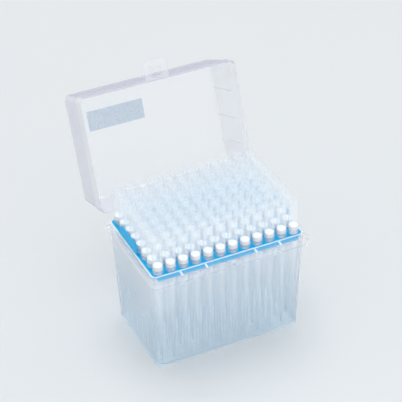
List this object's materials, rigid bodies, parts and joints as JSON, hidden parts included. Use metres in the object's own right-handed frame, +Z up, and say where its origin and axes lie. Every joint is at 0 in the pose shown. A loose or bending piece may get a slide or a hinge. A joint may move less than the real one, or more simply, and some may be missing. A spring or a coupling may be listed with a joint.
{
  "type": "pipette tip rack",
  "caption": "Hinged-lid box of long filter pipette tips: frosted tub, lift-out blue deck, clear lid with a folding finger clasp.",
  "frame": {"origin": "centre of the tub's underside, on the surface it stands on", "axes": "+Z up, +X along the twelve columns, +Y from the clasp side to the hinge side"},
  "size_m": [0.117, 0.1519, 0.1705],
  "materials": {
    "frosted_tub": "natural polypropylene, frosted and translucent",
    "clear_lid": "clarified polypropylene, smooth and see-through with a faint haze",
    "blue_deck": "saturated cyan-blue moulded polypropylene, satin",
    "clear_tip": "clear polypropylene with a pale blue cast",
    "white_filter": "sintered white polyethylene, porous and matt",
    "label_print": "thin grey-blue print, blank"
  },
  "bodies": {
    "tub": {"tub": "frosted_tub"},
    "lid": {"lid": "clear_lid", "lid_label": "label_print"},
    "clasp": {"clasp": "clear_lid"},
    "deck": {"deck": "blue_deck"},
    "column_01": {"tips_01": "clear_tip", "filters_01": "white_filter"},
    "column_02": {"tips_02": "clear_tip", "filters_02": "white_filter"},
    "column_03": {"tips_03": "clear_tip", "filters_03": "white_filter"},
    "column_04": {"tips_04": "clear_tip", "filters_04": "white_filter"},
    "column_05": {"tips_05": "clear_tip", "filters_05": "white_filter"},
    "column_06": {"tips_06": "clear_tip", "filters_06": "white_filter"},
    "column_07": {"tips_07": "clear_tip", "filters_07": "white_filter"},
    "column_08": {"tips_08": "clear_tip", "filters_08": "white_filter"},
    "column_09": {"tips_09": "clear_tip", "filters_09": "white_filter"},
    "column_10": {"tips_10": "clear_tip", "filters_10": "white_filter"},
    "column_11": {"tips_11": "clear_tip", "filters_11": "white_filter"},
    "column_12": {"tips_12": "clear_tip", "filters_12": "white_filter"}
  },
  "joints": [
    {"name": "lid_hinge", "type": "hinge", "parent": "tub", "child": "lid", "pos_m": [0, 0.0419, 0.0796], "axis": [-1, 0, 0], "range_deg": [-111.1, 0]},
    {"name": "clasp_fold", "type": "hinge", "parent": "lid", "child": "clasp", "pos_m": [0, 0.07289, 0.15853], "axis": [-1, 0, 0], "range_deg": [-90, 0]},
    {"name": "deck_lift", "type": "slide", "parent": "tub", "child": "deck", "axis": [0, 0, 1], "range_m": [0, 0.1]},
    {"name": "column_01_lift", "type": "slide", "parent": "deck", "child": "column_01", "axis": [0, 0, 1], "range_m": [0, 0.105]},
    {"name": "column_02_lift", "type": "slide", "parent": "deck", "child": "column_02", "axis": [0, 0, 1], "range_m": [0, 0.105]},
    {"name": "column_03_lift", "type": "slide", "parent": "deck", "child": "column_03", "axis": [0, 0, 1], "range_m": [0, 0.105]},
    {"name": "column_04_lift", "type": "slide", "parent": "deck", "child": "column_04", "axis": [0, 0, 1], "range_m": [0, 0.105]},
    {"name": "column_05_lift", "type": "slide", "parent": "deck", "child": "column_05", "axis": [0, 0, 1], "range_m": [0, 0.105]},
    {"name": "column_06_lift", "type": "slide", "parent": "deck", "child": "column_06", "axis": [0, 0, 1], "range_m": [0, 0.105]},
    {"name": "column_07_lift", "type": "slide", "parent": "deck", "child": "column_07", "axis": [0, 0, 1], "range_m": [0, 0.105]},
    {"name": "column_08_lift", "type": "slide", "parent": "deck", "child": "column_08", "axis": [0, 0, 1], "range_m": [0, 0.105]},
    {"name": "column_09_lift", "type": "slide", "parent": "deck", "child": "column_09", "axis": [0, 0, 1], "range_m": [0, 0.105]},
    {"name": "column_10_lift", "type": "slide", "parent": "deck", "child": "column_10", "axis": [0, 0, 1], "range_m": [0, 0.105]},
    {"name": "column_11_lift", "type": "slide", "parent": "deck", "child": "column_11", "axis": [0, 0, 1], "range_m": [0, 0.105]},
    {"name": "column_12_lift", "type": "slide", "parent": "deck", "child": "column_12", "axis": [0, 0, 1], "range_m": [0, 0.105]}
  ]
}
